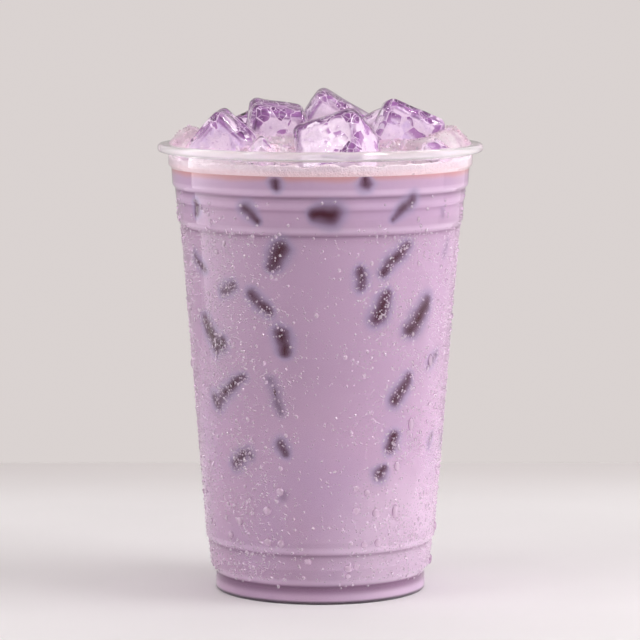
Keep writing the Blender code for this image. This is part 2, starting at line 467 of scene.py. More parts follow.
def turned(name, line, steps):
    """A solid of revolution. The line starts and ends on the axis, going down the outside last."""
    rings = [p for p in line if p.x > 1e-6]
    angle = np.arange(steps) * math.tau / steps
    radius = np.array([p.x for p in rings])[:, None]
    height = np.array([p.y for p in rings])[:, None]
    points = np.stack(
        [radius * np.sin(angle), -radius * np.cos(angle), height + 0 * angle], axis=-1
    ).reshape(-1, 3)
    poles = [p for p in (line[0], line[-1]) if p.x <= 1e-6]
    points = np.concatenate([points, [[0.0, 0.0, p.y] for p in poles]])
    here = np.arange(steps)
    ahead = (here + 1) % steps
    faces = []
    for i in range(len(rings) - 1):
        a, b = i * steps, (i + 1) * steps
        faces += np.stack([a + here, b + here, b + ahead, a + ahead], axis=1).tolist()
    first, last = len(rings) * steps, len(rings) * steps + 1
    base = (len(rings) - 1) * steps
    faces += [[first, int(h), int(g)] for h, g in zip(here, ahead)]
    faces += [[last, int(base + g), int(base + h)] for h, g in zip(here, ahead)]
    return mesh_of(name, points.tolist(), faces)


def face_out(mesh):
    form = bmesh.new()
    form.from_mesh(mesh)
    bmesh.ops.recalc_face_normals(form, faces=form.faces)
    form.to_mesh(mesh)
    form.free()


OUTSIDE = rounded([(INSIDE_RIM, RIM_TOP, 0.0), *side_corners(0.0), (FOOT_RADIUS, 0.8, 0.0)], ARC_STEPS)[1:]
SIDE_Z = np.array([p.y for p in OUTSIDE])[::-1]
SIDE_R = np.array([p.x for p in OUTSIDE])[::-1]


def side_radius(height):
    """The cup's outer radius at a height."""
    return np.interp(height, SIDE_Z, SIDE_R)


MILK_SIDE = [p for p in milk_outline() if p.x > FOOT_RADIUS - 2 and 0.5 < p.y < LEVEL - 0.3]
MILK_Z = np.array([p.y for p in MILK_SIDE])[::-1]
MILK_R = np.array([p.x for p in MILK_SIDE])[::-1]


def side_frame(angle, height):
    """Places on the cup's outside and their outward, sideways and upward directions."""
    radius = side_radius(height)
    slope = (side_radius(height + 0.4) - side_radius(height - 0.4)) / 0.8
    out_x, out_y = np.sin(angle), -np.cos(angle)
    tilt = 1 / np.sqrt(1 + slope**2)
    place = np.stack([radius * out_x, radius * out_y, height], axis=-1)
    outward = np.stack([out_x * tilt, out_y * tilt, -slope * tilt], axis=-1)
    sideways = np.stack([np.cos(angle), np.sin(angle), 0 * angle], axis=-1)
    upward = np.cross(outward, sideways) * -1
    upward *= np.sign(upward[:, 2:3])
    return place, outward, sideways, upward


def scattered_domes(name, angle, height, width, tall, proud, sides, rings, seed, wobble=0.0):
    """Many low domes on the cup's outside, as one mesh."""
    draw = np.random.default_rng(seed)
    place, outward, sideways, upward = side_frame(angle, height)
    count = len(angle)
    turn = np.arange(sides) * math.tau / sides
    points = []
    rim = 1 + wobble * draw.normal(size=(count, sides))
    spin = draw.uniform(0, math.tau, size=(count, 1))
    for ring in range(rings):
        lean = (math.pi / 2) * (1 - ring / rings)
        flat = math.sin(lean) ** 0.8
        rise = math.cos(lean)
        along = (width[:, None] / 2) * flat * np.cos(turn + spin) * rim
        up = (width[:, None] / 2) * tall[:, None] * flat * np.sin(turn + spin) * rim
        up -= 0.12 * width[:, None] * (tall[:, None] - 1) * rise
        ring_points = (
            place[:, None]
            + along[..., None] * sideways[:, None]
            + up[..., None] * upward[:, None]
            + (proud[:, None] * rise - 0.02)[..., None] * outward[:, None]
        )
        points.append(ring_points)
    top = place + (proud - 0.02)[:, None] * outward
    block = np.concatenate([*points, top[:, None]], axis=1)
    stride = sides * rings + 1
    here = np.arange(sides)
    ahead = (here + 1) % sides
    tris = []
    for ring in range(rings - 1):
        a, b = ring * sides, (ring + 1) * sides
        tris.append(np.stack([a + here, a + ahead, b + ahead], 1))
        tris.append(np.stack([a + here, b + ahead, b + here], 1))
    last = (rings - 1) * sides
    tris.append(np.stack([last + here, last + ahead, 0 * here + stride - 1], 1))
    tris = np.concatenate(tris)
    faces = (tris[None] + (np.arange(count) * stride)[:, None, None]).reshape(-1, 3)
    mesh = mesh_of(name, block.reshape(-1, 3), faces)
    rim_marks = np.tile(np.append(np.repeat(1 - np.arange(rings) / rings, sides), 0.0), count)
    mark(mesh, "rim", rim_marks)
    return mesh


def sunk_pieces():
    """Every dark piece in the drink: those that the photograph shows, then the hidden sides' own."""
    draw = np.random.default_rng(SUNK_SEED)
    pieces = [list(p) for p in SUNK]
    tries = 0
    while len(pieces) < len(SUNK) + SUNK_HIDDEN and tries < 4000:
        tries += 1
        angle = draw.uniform(SUNK_SPREAD, 360 - SUNK_SPREAD)
        height = draw.choice([*draw.uniform(30, 104, 6), 115.0, 124.8])
        size = draw.uniform(3.5, 15) if height < 105 else 3.5
        lean = draw.uniform(-70, 70)
        width = draw.uniform(1.8, 3.9)
        strength = draw.uniform(0.45, 1.0)
        radius = float(side_radius(height))
        near = min(
            math.hypot(math.radians((angle - p[0] + 180) % 360 - 180) * radius, height - p[1])
            - (size + p[2]) * 0.42
            for p in pieces
        )
        if near > 1.5 and height + size / 2 < 126.5:
            pieces.append([angle, height, size, lean, width, strength])
    return pieces


def smooth_step(value, low, high):
    part = np.clip((value - low) / (high - low), 0, 1)
    return part * part * (3 - 2 * part)


def lumps(points, scale, seat=0.0):
    """Smooth noise at many points, about -1 to 1."""
    return np.array([noise.noise(Vector(p) * scale + Vector((seat, 0, 0))) for p in points])


def drink():
    line = milk_outline()
    top = [p for p in line if p.y > LEVEL - 1]
    side = [p for p in line if p.y <= LEVEL - 1 and p.x > FOOT_RADIUS - 2]
    low = [p for p in line if p.y <= LEVEL - 1 and p.x <= FOOT_RADIUS - 2]
    mesh = turned("milk", [*top[:-1], *closer([top[-1], *side], MILK_STEP), *low], CUP_STEPS)
    face_out(mesh)
    count = len(mesh.vertices)
    places = np.empty(count * 3, np.float32)
    mesh.vertices.foreach_get("co", places)
    places = places.reshape(-1, 3).astype(float) / MM
    angle = np.degrees(np.arctan2(places[:, 0], -places[:, 1]))
    radius = np.hypot(places[:, 0], places[:, 1])
    height = places[:, 2]
    outer = (radius > 30) & (height < LEVEL)
    core = np.zeros(count)
    halo = np.zeros(count)
    fray = lumps(places, 0.42) * 0.42 + lumps(places, 1.1, 40.0) * 0.22
    fade = 1.02 + 0.30 * lumps(places, 0.30, 80.0)
    draw = np.random.default_rng(SUNK_SEED + 1)
    for at, level, size, lean, width, strength in sunk_pieces():
        around = np.radians((angle - at + 180) % 360 - 180) * radius
        rise = height - level
        lean = math.radians(lean)
        along = around * math.sin(lean) - rise * math.cos(lean)
        across = around * math.cos(lean) + rise * math.sin(lean)
        bend = draw.uniform(-0.014, 0.014)
        swell = draw.uniform(-0.34, 0.34)
        phase = draw.uniform(0, 6.28)
        across = across + bend * along**2 + 0.18 * np.sin(along * 0.8 + phase)
        half = max(0.1, size / 2 - width * 0.45)
        over = np.maximum(np.abs(along) - half, 0)
        slide = np.clip(along / max(size / 2, 1), -1, 1)
        girth = (1 + swell * slide) * (1 - 0.22 * slide**2)
        reach = np.maximum(np.hypot(over, across) + fray * min(1.0, width / 2.6), 0) / girth
        body = np.exp(-0.693 * (reach / (width / 2 + 0.08)) ** 1.7)
        soft = np.exp(-0.693 * (reach / (width / 2 + 1.5)) ** 2.0)
        core = np.maximum(core, np.clip(strength * fade, 0, 1) * body * outer)
        halo = np.maximum(halo, strength * soft * outer)
    # Painted light and shade at each of the cup's steps: a highlight bar above the crease, a dark shade line
    # at it, and shade fading out below it.
    step_light_and_shade = np.zeros(count)
    for (_, _, _, low_z), (_, next_z, _, _) in zip(BANDS, [*BANDS[1:], (0, FOOT_TOP[1], 0, 0)]):
        crease = next_z - 0.1
        depth = LEDGE_DEPTHS.get(low_z, 1.0)
        highlight_bar = smooth_step(height, crease + 0.5, crease + 1.1)
        highlight_bar *= 1 - smooth_step(height, crease + 1.7, crease + 2.5)
        shade_line = np.exp(-(((height - crease + 0.25) / 0.5) ** 2))
        shade_tail = smooth_step(height, crease - 3.4, crease - 0.3) * (height < crease)
        step_light_and_shade += depth * outer * (0.85 * highlight_bar - shade_line - 0.35 * shade_tail)
    for name, values in (("sunk", core), ("halo", halo), ("ledge_light_and_shade", step_light_and_shade)):
        mark(mesh, name, values)
    return piece("milk", mesh, milk_finish(), ["drink"])


def milk_finish():
    g = Graph("taro_milk_tea_look")
    at = g.place()
    cloud = g.noise(at, 0.045, 3.0, 0.5)
    colour = g.mix(g.ramp(cloud, 0.35, 0.65), MILK, MILK_COOL)
    grain = g.noise(at, 0.9, 3.0, 0.6)
    colour = g.mix(g.ramp(grain, 0.3, 0.75, 0.0, 0.12), colour, MILK_GRAIN)
    height = g.separate(at)["Z"]
    # Painted shade over the middle and upper body, all the way round.
    mid_shade = g.times(g.ramp(height, 45.0, 72.0), g.ramp(height, 118.0, 110.0))
    colour = g.mix(g.times(mid_shade, 0.9), colour, MILK_MID_SHADE)
    # A painted pool of light, paler towards the lower front right.
    apart = g.add("ShaderNodeVectorMath", operation="DISTANCE")
    g.tree.links.new(at, apart.inputs[0])
    apart.inputs[1].default_value = PAINTED_LIGHT_PLACE
    colour = g.mix(g.ramp(apart.outputs["Value"], 32.0, 8.0, 0.0, 0.75), colour, MILK_PAINTED_LIGHT)
    drift = g.noise(at, 0.06)
    line = g.maths("ADD", height, g.times(drift, 1.6))
    colour = g.mix(g.ramp(line, 125.9, 128.0, 0.0, 1.0), colour, MILK_TOP)
    # Painted shade in a band under the foot's step.
    under_step = g.times(g.ramp(height, 6.2, 5.2), g.ramp(height, 2.2, 4.4))
    colour = g.mix(g.times(under_step, 0.82), colour, STEP_SHADE)
    # Painted highlight and shade at the cup's steps.
    ledge_light_and_shade = g.attribute("ledge_light_and_shade")
    colour = g.mix(g.times(ledge_light_and_shade, 0.30, clamp=True), colour, LEDGE_HIGHLIGHT)
    colour = g.mix(g.times(ledge_light_and_shade, -0.45, clamp=True), colour, LEDGE_SHADE)
    halo = g.attribute("halo")
    colour = g.mix(g.ramp(halo, 0.12, 0.62, 0.0, 0.65), colour, SUNK_HALO)
    colour = g.mix(g.ramp(halo, 0.48, 0.95, 0.0, 0.6), colour, SUNK_NEAR)
    colour = g.mix(g.attribute("sunk"), colour, SUNK_CORE)
    # Painted contact shadow along the bottom of the foot.
    colour = g.mix(g.ramp(height, 1.5, 0.5, 0.0, 0.9), colour, FOOT_SHADE)
    g.set(Base_Color=colour, Roughness=0.5, IOR=1.4, Specular_IOR_Level=0.0)
    g.set(Sheen_Weight=0.4, Sheen_Roughness=0.4)
    return g.material


def cup():
    mesh = turned("cup_wall", cup_outline(), CUP_STEPS)
    face_out(mesh)
    g = Graph("clear_plastic_look")
    g.set(Base_Color=CUP_CLEAR, Roughness=0.04, IOR=1.5, Transmission_Weight=1.0, Specular_IOR_Level=0.25)
    g.bump(g.noise(g.place(), 0.05), 0.12, 0.0008)
    lip = Graph("clear_lip_look")
    tint = lip.mix(lip.noise(lip.place(), 0.08, 2.0), LIP_CLEAR, LIP_TINT)
    lip.set(Base_Color=tint, Roughness=0.04, IOR=1.5, Transmission_Weight=0.56)
    obj = piece("cup_wall", mesh, g.material, ["cup"])
    mesh.materials.append(lip.material)
    for face in mesh.polygons:
        middle = face.center / MM
        if middle.z > LIP_UNDER - 0.2 and math.hypot(middle.x, middle.y) > 45.9:
            face.material_index = 1
    obj.visible_shadow = False
    return obj


def froth_height(x, y):
    radius = math.hypot(x, y)
    sideways = abs(x) / max(radius, 0.001)
    edge = FROTH_EDGE + FROTH_SIDE_EDGE * sideways**6
    crest = FROTH_CREST + FROTH_SIDE_CREST * sideways**6
    rise = min(1.0, max(0.0, (edge - radius) / FROTH_SLOPE))
    smooth = rise * rise * (3 - 2 * rise)
    bump = noise.noise(Vector((x, y, 0)) * FROTH_BUMP_SCALE) * FROTH_BUMP
    return LEVEL + 0.7 + (crest + bump) * smooth


def froth_detail(x, y):
    at = Vector((x, y, 3.0))
    lump = noise.fractal(at * 0.22, 0.7, 2.0, 3) * 0.60
    grain = noise.fractal(at * 0.9, 0.8, 2.0, 2) * 0.07
    return lump + grain


def froth_place(x, y):
    """The froth's surface: the part's own mound, lower between the ice, with small lumps."""
    radius = math.hypot(x, y)
    sideways = (abs(x) / max(radius, 0.001)) ** 6
    inner = float(smooth_step(radius, 40.0, 30.0))
    sunk_by = FROTH_SUNK * inner * (1 - 0.5 * sideways)
    return max(froth_height(x, y) - sunk_by, LEVEL + 0.7) + froth_detail(x, y)


def froth_line(x, y):
    """The height to which the froth clings to the wall."""
    ragged = noise.noise(Vector((x, y, 0)) * 0.28) * 0.9 + noise.noise(Vector((x, y, 9)) * 0.9) * 0.35
    return FROTH_LINE + ragged


def froth():
    top_r, _, low_r, low_z = BANDS[0]
    side = top_r - INTO_WALL
    angle = np.arange(FROTH_SIDES) * math.tau / FROTH_SIDES
    rings = [side * (1 - (1 - i / FROTH_RINGS) ** 1.15) for i in range(1, FROTH_RINGS + 1)]
    points = []
    for radius in rings:
        for a in angle:
            x, y = radius * math.sin(a), -radius * math.cos(a)
            level = froth_place(x, y)
            cling = float(smooth_step(radius, side - 1.3, side))
            level += max(froth_line(x, y) - level, 0.0) * cling
            points.append((x, y, level))
    edge = points[-FROTH_SIDES:]
    bend = low_z + (BANDS[0][1] - low_z) * 0.55
    under = BANDS[1][0] - INTO_WALL
    skirt = ((side, bend), (under, MILK_LEVEL), (under - 0.1, MILK_LEVEL - 0.7))
    for radius, height in skirt:
        for a, p in zip(angle, edge):
            points.append((radius * math.sin(a), -radius * math.cos(a), min(height, p[2] - 0.05)))
    points += [(0.0, 0.0, froth_place(0, 0)), (0.0, 0.0, MILK_LEVEL - 0.7)]
    ring_count = len(rings)
    steps = FROTH_SIDES
    faces = []
    for i in range(ring_count + len(skirt) - 1):
        for k in range(steps):
            n = (k + 1) % steps
            faces.append((i * steps + k, (i + 1) * steps + k, (i + 1) * steps + n, i * steps + n))
    top, low = len(points) - 2, len(points) - 1
    last = (ring_count + len(skirt) - 1) * steps
    for k in range(steps):
        n = (k + 1) % steps
        faces.append((top, k, n))
        faces.append((low, last + n, last + k))
    mesh = mesh_of("froth_top", points, faces)
    face_out(mesh)
    g = Graph("milk_froth_look")
    at = g.place()
    cloud = g.noise(at, 0.12, 3.0, 0.55)
    colour = g.mix(g.ramp(cloud, 0.35, 0.62), FROTH_PALE, FROTH_PINK)
    height = g.separate(at)["Z"]
    # Darker patches, placed by noise.
    dark_patches = g.ramp(g.noise(at, 0.30), 0.50, 0.66, 0.0, 0.55)
    colour = g.mix(dark_patches, colour, FROTH_DARK_PATCH)
    colour = g.mix(g.ramp(height, 131.8, 130.4, 0.0, 0.75), colour, FROTH_BAND)
    colour = g.mix(g.ramp(height, 129.6, 128.0, 0.0, 0.9), colour, FROTH_LOW)
    cells = g.voronoi(at, 1.4, "DISTANCE_TO_EDGE")["Distance"]
    colour = g.mix(g.ramp(cells, 0.0, 0.10, 0.35, 0.0), colour, FROTH_CELL)
    g.set(Base_Color=colour, Roughness=0.28, Specular_IOR_Level=0.25)
    height = g.maths("ADD", g.times(g.ramp(cells, 0.0, 0.35), 0.25),
                     g.times(g.noise(at, 0.45), 1.8))
    g.bump(height, 0.5, 0.0009)
    return piece("froth_top", mesh, g.material, ["froth"])


def ice_block(name, middle, edges, turns, grow, cuts, rounding, steps, ripple, ripple_scale):
    """A rounded block of ice with fine faces. Its points are already in the frame's place."""
    form = bmesh.new()
    bmesh.ops.create_cube(form, size=1.0)
    bmesh.ops.scale(form, vec=Vector([(e + 2 * grow) * MM for e in edges]), verts=form.verts)
    seat = Vector(middle)
    for corner in form.verts:
        pull = noise.noise_vector((corner.co.normalized() * 40 + seat) * ICE_WARP_SCALE)
        corner.co += pull * ICE_WARP * MM
    bmesh.ops.bevel(
        form, geom=[*form.verts, *form.edges], offset=min(edges) * rounding * MM,
        segments=steps, profile=0.5, affect="EDGES",
    )
    long_edges = [e for e in form.edges if e.calc_length() > 3.0 * MM]
    bmesh.ops.subdivide_edges(form, edges=long_edges, cuts=cuts, use_grid_fill=True)
    bmesh.ops.recalc_face_normals(form, faces=form.faces)
    form.normal_update()
    half = [e / 2 + grow for e in edges]
    edge_marks = []
    moves = []
    for vert in form.verts:
        gaps = sorted(max(0.0, h - abs(c) / MM) for h, c in zip(half, vert.co))
        edge_marks.append(gaps[1])
        at = vert.co / MM + seat
        push = noise.fractal(at * ripple_scale, 0.9, 2.0, 2) * ripple
        moves.append(vert.normal * ((push - ripple * 0.5) * MM))
    sides = []
    for face in form.faces:
        parts = [abs(c) for c in face.normal]
        axis = parts.index(max(parts))
        toward = face.normal[axis] > 0
        sides.append(noise.cell(seat * 3.7 + Vector((axis * 5.3, 11.9 * toward, 0))))
    for vert, move in zip(form.verts, moves):
        vert.co += move
    mesh = bpy.data.meshes.new(name)
    form.to_mesh(mesh)
    form.free()
    turn = Euler([math.radians(t) for t in turns]).to_matrix().to_4x4()
    mesh.transform(Matrix.Translation(seat * MM) @ turn)
    heights = np.array([v.co.z for v in mesh.vertices])
    lift = (heights - heights.min()) / (heights.max() - heights.min())
    mark(mesh, "edge", edge_marks)
    mark(mesh, "lift", lift)
    mark(mesh, "side", sides, "FACE")
    mesh.shade_smooth()
    return mesh


def ice_clear_finish():
    g = Graph("clear_ice_look")
    g.set(Base_Color=ICE_TINT, Roughness=0.015, IOR=1.31, Transmission_Weight=1.0)
    g.bump(g.noise(g.place(), 0.4), 0.18, 0.0006)
    return g.material


def ice_core_finish():
    g = Graph("cracked_ice_look")
    at = g.place()

    def bent(amount, scale):
        bend = g.add("ShaderNodeVectorMath", operation="MULTIPLY_ADD")
        g.tree.links.new(g.noise(at, scale, colour=True), bend.inputs[0])
        bend.inputs[1].default_value = (amount, amount, amount)
        g.tree.links.new(at, bend.inputs[2])
        return bend.outputs["Vector"]

    wide_at = bent(3.0, 0.14)
    wide = g.separate(g.voronoi(wide_at, 0.20)["Color"])
    wide_gap = g.voronoi(wide_at, 0.20, "DISTANCE_TO_EDGE")["Distance"]
    small_at = bent(2.4, 0.25)
    small = g.separate(g.voronoi(small_at, 0.42)["Color"])
    small_gap = g.voronoi(small_at, 0.42, "DISTANCE_TO_EDGE")["Distance"]
    lift = g.attribute("lift")
    edge = g.attribute("edge")
    side = g.attribute("side")
    drift = g.noise(at, 0.10)
    up = g.separate(g.add("ShaderNodeNewGeometry").outputs["Normal"])["Z"]

    score = g.maths("ADD", g.times(lift, 0.50), g.times(wide["X"], 0.36))
    score = g.maths("ADD", score, g.maths("MULTIPLY_ADD", drift, 0.46, 0.07))
    score = g.maths("ADD", score, g.times(small["X"], 0.08))
    score = g.maths("ADD", score, g.times(g.ramp(up, 0.2, 0.9), 0.12))
    middling = g.ramp(score, 0.89, 0.94)
    dark = g.ramp(score, 0.99, 1.03)

    veil = g.noise(at, 0.30, 3.0, 0.6)
    tone = g.mix(g.ramp(side, 0.35, 0.65), ICE_PALE, ICE_LILAC)
    tone = g.mix(g.ramp(drift, 0.40, 0.62, 0.0, 0.7), tone, ICE_PALE)
    tone = g.mix(g.ramp(veil, 0.42, 0.68, 0.0, 0.75), tone, ICE_PINK)
    tone = g.mix(g.ramp(wide["Y"], 0.82, 0.88, 0.0, 0.6), tone, ICE_LINE_AND_HIGHLIGHT)
    swirl = g.noise(small_at, 0.75, 3.0, 0.65)
    tone = g.mix(g.ramp(swirl, 0.56, 0.64, 0.0, 0.55), tone, ICE_LINE_AND_HIGHLIGHT)
    tone = g.mix(g.ramp(swirl, 0.44, 0.34, 0.0, 0.45), tone, ICE_SHADE)
    bubble = g.voronoi(at, 0.55)["Distance"]
    ring = g.times(g.ramp(bubble, 0.16, 0.20), g.ramp(bubble, 0.28, 0.22))
    tone = g.mix(g.times(ring, g.ramp(drift, 0.42, 0.55, 0.1, 0.55)), tone, ICE_LINE_AND_HIGHLIGHT)
    glass = g.mix(small["Y"], ICE_MID, ICE_SHADE)
    deep = g.mix(small["Z"], ICE_DARK, ICE_MID)
    colour = g.mix(middling, tone, glass)
    colour = g.mix(dark, colour, deep)
    crown = g.times(g.ramp(edge, 1.4, 2.2, 1.0, 0.0), g.ramp(lift, 0.45, 0.70))
    colour = g.mix(g.times(crown, g.ramp(veil, 0.35, 0.6, 0.95, 0.5)), colour, ICE_MID)
    brink = g.times(g.ramp(edge, 0.5, 1.0, 1.0, 0.0), g.ramp(lift, 0.50, 0.72, 0.0, 0.8))
    colour = g.mix(brink, colour, ICE_DARK)
    white = g.times(g.ramp(small["X"], 0.92, 0.95), g.ramp(score, 0.82, 0.95))
    colour = g.mix(white, colour, ICE_WHITE)

    thin = g.ramp(wide_gap, 0.005, 0.026, 1.0, 0.0)
    colour = g.mix(g.times(thin, g.ramp(score, 0.70, 1.0, 0.12, 0.9)), colour, ICE_LINE_AND_HIGHLIGHT)
    thin = g.ramp(small_gap, 0.006, 0.040, 1.0, 0.0)
    colour = g.mix(g.times(thin, g.ramp(score, 0.95, 1.06, 0.0, 0.8)), colour, ICE_LINE_AND_HIGHLIGHT)
    # Painted highlight along the heart's edges, weaker towards the top.
    edge_highlight = g.times(g.ramp(edge, 0.25, 0.65, 1.0, 0.0), g.ramp(veil, 0.38, 0.55, 0.1, 0.95))
    edge_highlight = g.times(edge_highlight, g.ramp(lift, 0.55, 0.8, 1.0, 0.25))
    colour = g.mix(edge_highlight, colour, ICE_LINE_AND_HIGHLIGHT)
    speck = g.voronoi(at, 0.8)["Distance"]
    speck_on = g.times(g.ramp(speck, 0.09, 0.16, 1.0, 0.0), g.ramp(veil, 0.45, 0.55))
    colour = g.mix(speck_on, colour, ICE_SPECK)
    g.set(Base_Color=colour, Roughness=0.15, Specular_IOR_Level=0.3)
    g.bump(g.noise(at, 0.40, 2.0), 0.4, 0.0009)
    return g.material


def ice():
    clear, cracked = ice_clear_finish(), ice_core_finish()
    noise.seed_set(ICE_SEED)
    for name, (middle, edges, turns) in ICE.items():
        big = min(edges) > BIG_ICE
        block = (middle, edges, turns)
        shell = ice_block(name + "_clear", *block, -0.05, 5 if big else 3, ICE_ROUND, 5, 0.35, 0.20)
        piece(name + "_clear", shell, clear, [name]).visible_shadow = False
        inset = ICE_CORE_INSET if big else ICE_CORE_INSET * 0.6
        core = ice_block(name + "_heart", *block, -inset, 8 if big else 3, ICE_CORE_ROUND, 2, 0.7, 0.30)
        if not big:
            for point in core.attributes["lift"].data:
                point.value *= SMALL_ICE_LIFT
        piece(name + "_heart", core, cracked)


def free_of_headspace(x, y):
    return not (-15 < x < 10.5 and abs(y) > 35.5)


def chip_shape(draw, flat):
    """The corners and faces of one splinter of ice about 1 across."""
    form = bmesh.new()
    bmesh.ops.create_icosphere(form, subdivisions=1, radius=0.5)
    for vert in form.verts:
        vert.co *= draw.uniform(0.72, 1.15)
        vert.co.z *= flat
    return arrays_of(form)


def turn_matrix(draw):
    return np.array(Euler([draw.uniform(0, math.tau) for _ in range(3)]).to_matrix())


def place_in_disc(draw, reach):
    radius = reach * math.sqrt(draw.uniform(0, 1))
    turn = draw.uniform(0, math.tau)
    return radius, radius * math.sin(turn), -radius * math.cos(turn)


def loose_bits():
    """Crushed ice and bubbles lying on the froth between the cubes."""
    draw = np.random.default_rng(CRUMB_SEED)
    kinds = [chip_shape(draw, flat) for flat in (0.5, 0.7, 0.9, 0.6)]
    points, faces, start = [], [], 0
    made = 0
    while made < CRUMBS:
        radius, x, y = place_in_disc(draw, CRUMB_REACH)
        at_side = radius > 30 and abs(x) > 0.8 * radius
        if not free_of_headspace(x, y) or (at_side and draw.uniform() > 0.08):
            continue
        made += 1
        size = min(3.4, draw.lognormal(math.log(1.5), 0.4))
        corners, sides = kinds[made % len(kinds)]
        spot = np.array((x, y, froth_place(x, y) + size * draw.uniform(-0.1, 0.3)))
        reach = 44.0 - size * 0.6
        spot[:2] *= min(1.0, reach / max(radius, 0.01))
        points.append(corners @ turn_matrix(draw).T * size + spot)
        faces.append(sides + start)
        start += len(corners)
    for i in range(HEAP_CHIPS):
        lean = draw.uniform(0, math.pi)
        turn = draw.uniform(0, math.tau)
        reach = draw.uniform(0.75, 1.0)
        size = draw.uniform(1.1, 2.7)
        flat = math.sin(lean)
        off = np.array((flat * math.cos(turn), flat * math.sin(turn), abs(math.cos(lean))))
        corners, sides = kinds[i % len(kinds)]
        chip = corners @ turn_matrix(draw).T * size
        points.append(chip + np.array(HEAP_PLACE) + off * reach * np.array(HEAP_REACH))
        faces.append(sides + start)
        start += len(corners)
    crumbs = mesh_of("ice_crumbs", np.concatenate(points), np.concatenate(faces))
    crumbs.shade_flat()
    g = Graph("crushed_ice_look")
    colour = g.mix(g.ramp(g.noise(g.place(), 0.25, 2.0), 0.4, 0.65), CRUMB_PALE, CRUMB_LILAC)
    g.set(Base_Color=colour, Roughness=0.08, IOR=1.31, Transmission_Weight=0.4)
    piece("ice_crumbs", crumbs, g.material).visible_shadow = False

    form = bmesh.new()
    bmesh.ops.create_uvsphere(form, u_segments=8, v_segments=5, radius=0.5)
    bmesh.ops.triangulate(form, faces=form.faces)
    ball, sides = arrays_of(form)
    points, faces, start = [], [], 0
    for _ in range(BUBBLES):
        _, x, y = place_in_disc(draw, BUBBLE_REACH)
        if not free_of_headspace(x, y):
            continue
        size = min(1.6, draw.lognormal(math.log(0.6), 0.4))
        points.append(ball * size + np.array((x, y, froth_place(x, y) + size * 0.1)))
        faces.append(sides + start)
        start += len(ball)
    for _ in range(HEAP_BUBBLES):
        turn = draw.uniform(math.pi, math.tau)
        high = draw.uniform(0.2, 1.0)
        flat = math.sqrt(1 - high * high)
        off = np.array((flat * math.cos(turn), flat * math.sin(turn), high))
        points.append(ball * draw.uniform(0.8, 2.0) + np.array(HEAP_PLACE) + off * np.array(HEAP_REACH))
        faces.append(sides + start)
        start += len(ball)
    bubbles = mesh_of("froth_bubbles", np.concatenate(points), np.concatenate(faces))
    g = Graph("bubble_look")
    colour = g.mix(g.noise(g.place(), 0.4, 1.0), BUBBLE_PALE, BUBBLE_PINK)
    g.set(Base_Color=colour, Roughness=0.03, IOR=1.25, Transmission_Weight=0.75)
    piece("froth_bubbles", bubbles, g.material).visible_shadow = False


def mist_finish():
    g = Graph("mist_bead_look")
    shine = g.ramp(g.noise(g.place(), 1.3, 1.0), 0.54, 0.68)
    pale = g.mix(shine, MIST_MILKY, MIST_BRIGHT)
    g.set(Base_Color=pale, Roughness=0.08, IOR=WATER_IOR, Transmission_Weight=0.42, Specular_IOR_Level=1.0)
    return g.material


def water_finish(name, scale, pale, milky, rim, rim_full, rim_share, clear):
    """A drop that takes the drink's colour, with painted shade that makes it darker from its side to its
    foot.
    """
    g = Graph(name)
    colour = g.mix(g.noise(g.place(), scale, 1.0), pale, milky)
    # Painted shade on the outer rings, darkest at the foot.
    colour = g.mix(g.ramp(g.attribute("rim"), 0.60, rim_full, 0.0, rim_share), colour, rim)
    g.set(Base_Color=colour, Roughness=0.02, IOR=WATER_IOR, Transmission_Weight=clear, Specular_IOR_Level=1.0)
    return g.material


def beads():
    draw = np.random.default_rng(BEAD_SEED)

    def places(count, low, high, front):
        """Random places on the cup's side, fewer towards the middle of the front."""
        angle = draw.uniform(-math.pi, math.pi, count * 4)
        height = draw.uniform(low, high, count * 4)
        chance = draw.uniform(0, 1, count * 4)
        from_front = np.degrees(np.abs(angle))
        keep = front + (1 - front) * np.clip((from_front - 8) / 30, 0, 1)
        spots = [Vector((math.sin(a) * 40, math.cos(a) * 40, h)) for a, h in zip(angle, height)]
        clump = np.array([noise.noise(spot * 0.12) for spot in spots])
        keep = keep * np.clip(0.65 + clump * 0.9, 0.1, 1)
        index = np.flatnonzero(chance < keep)[:count]
        return angle[index], height[index]

    mist = mist_finish()
    water = water_finish("water_bead_look", 0.7, BEAD_PALE, BEAD_MILKY, BEAD_RIM_SHADE, 1.0, 0.75, 0.45)
    drop = water_finish("water_drop_look", 0.5, DROP_PALE, DROP_MILKY, DROP_RIM_SHADE, 0.95, 0.85, 0.4)

    angle, height = places(FINE_BEADS, 7.0, 111.0, 0.16)
    width = np.clip(draw.lognormal(math.log(0.46), 0.26, len(angle)), 0.26, 0.9)
    ones = np.ones(len(angle))
    fine = scattered_domes("beads_fine", angle, height, width, ones, width * 0.42, 6, 1, 1)

    angle, height = places(SMALL_BEADS, 5.0, 121.0, 0.14)
    width = np.clip(draw.lognormal(math.log(0.8), 0.22, len(angle)), 0.6, 1.4)
    tall = draw.uniform(0.95, 1.3, len(angle))
    small = scattered_domes("beads_small", angle, height, width, tall, width * 0.40, 12, 3, 2, 0.03)

    drops = [*LARGE_DROPS]
    for _ in range(HIDDEN_DROPS):
        drops.append([draw.uniform(low, high) for low, high in HIDDEN_DROP_RANGES])
    at, height, width, tall = np.array(drops).T
    large = scattered_domes(
        "drops_large", np.radians(at), height, width * 1.2, tall, width * 0.36, 18, 6, 3, 0.03,
    )
    wet = {"beads_fine": (fine, mist), "beads_small": (small, water), "drops_large": (large, drop)}
    for name, (mesh, look) in wet.items():
        piece(name, mesh, look).visible_shadow = False


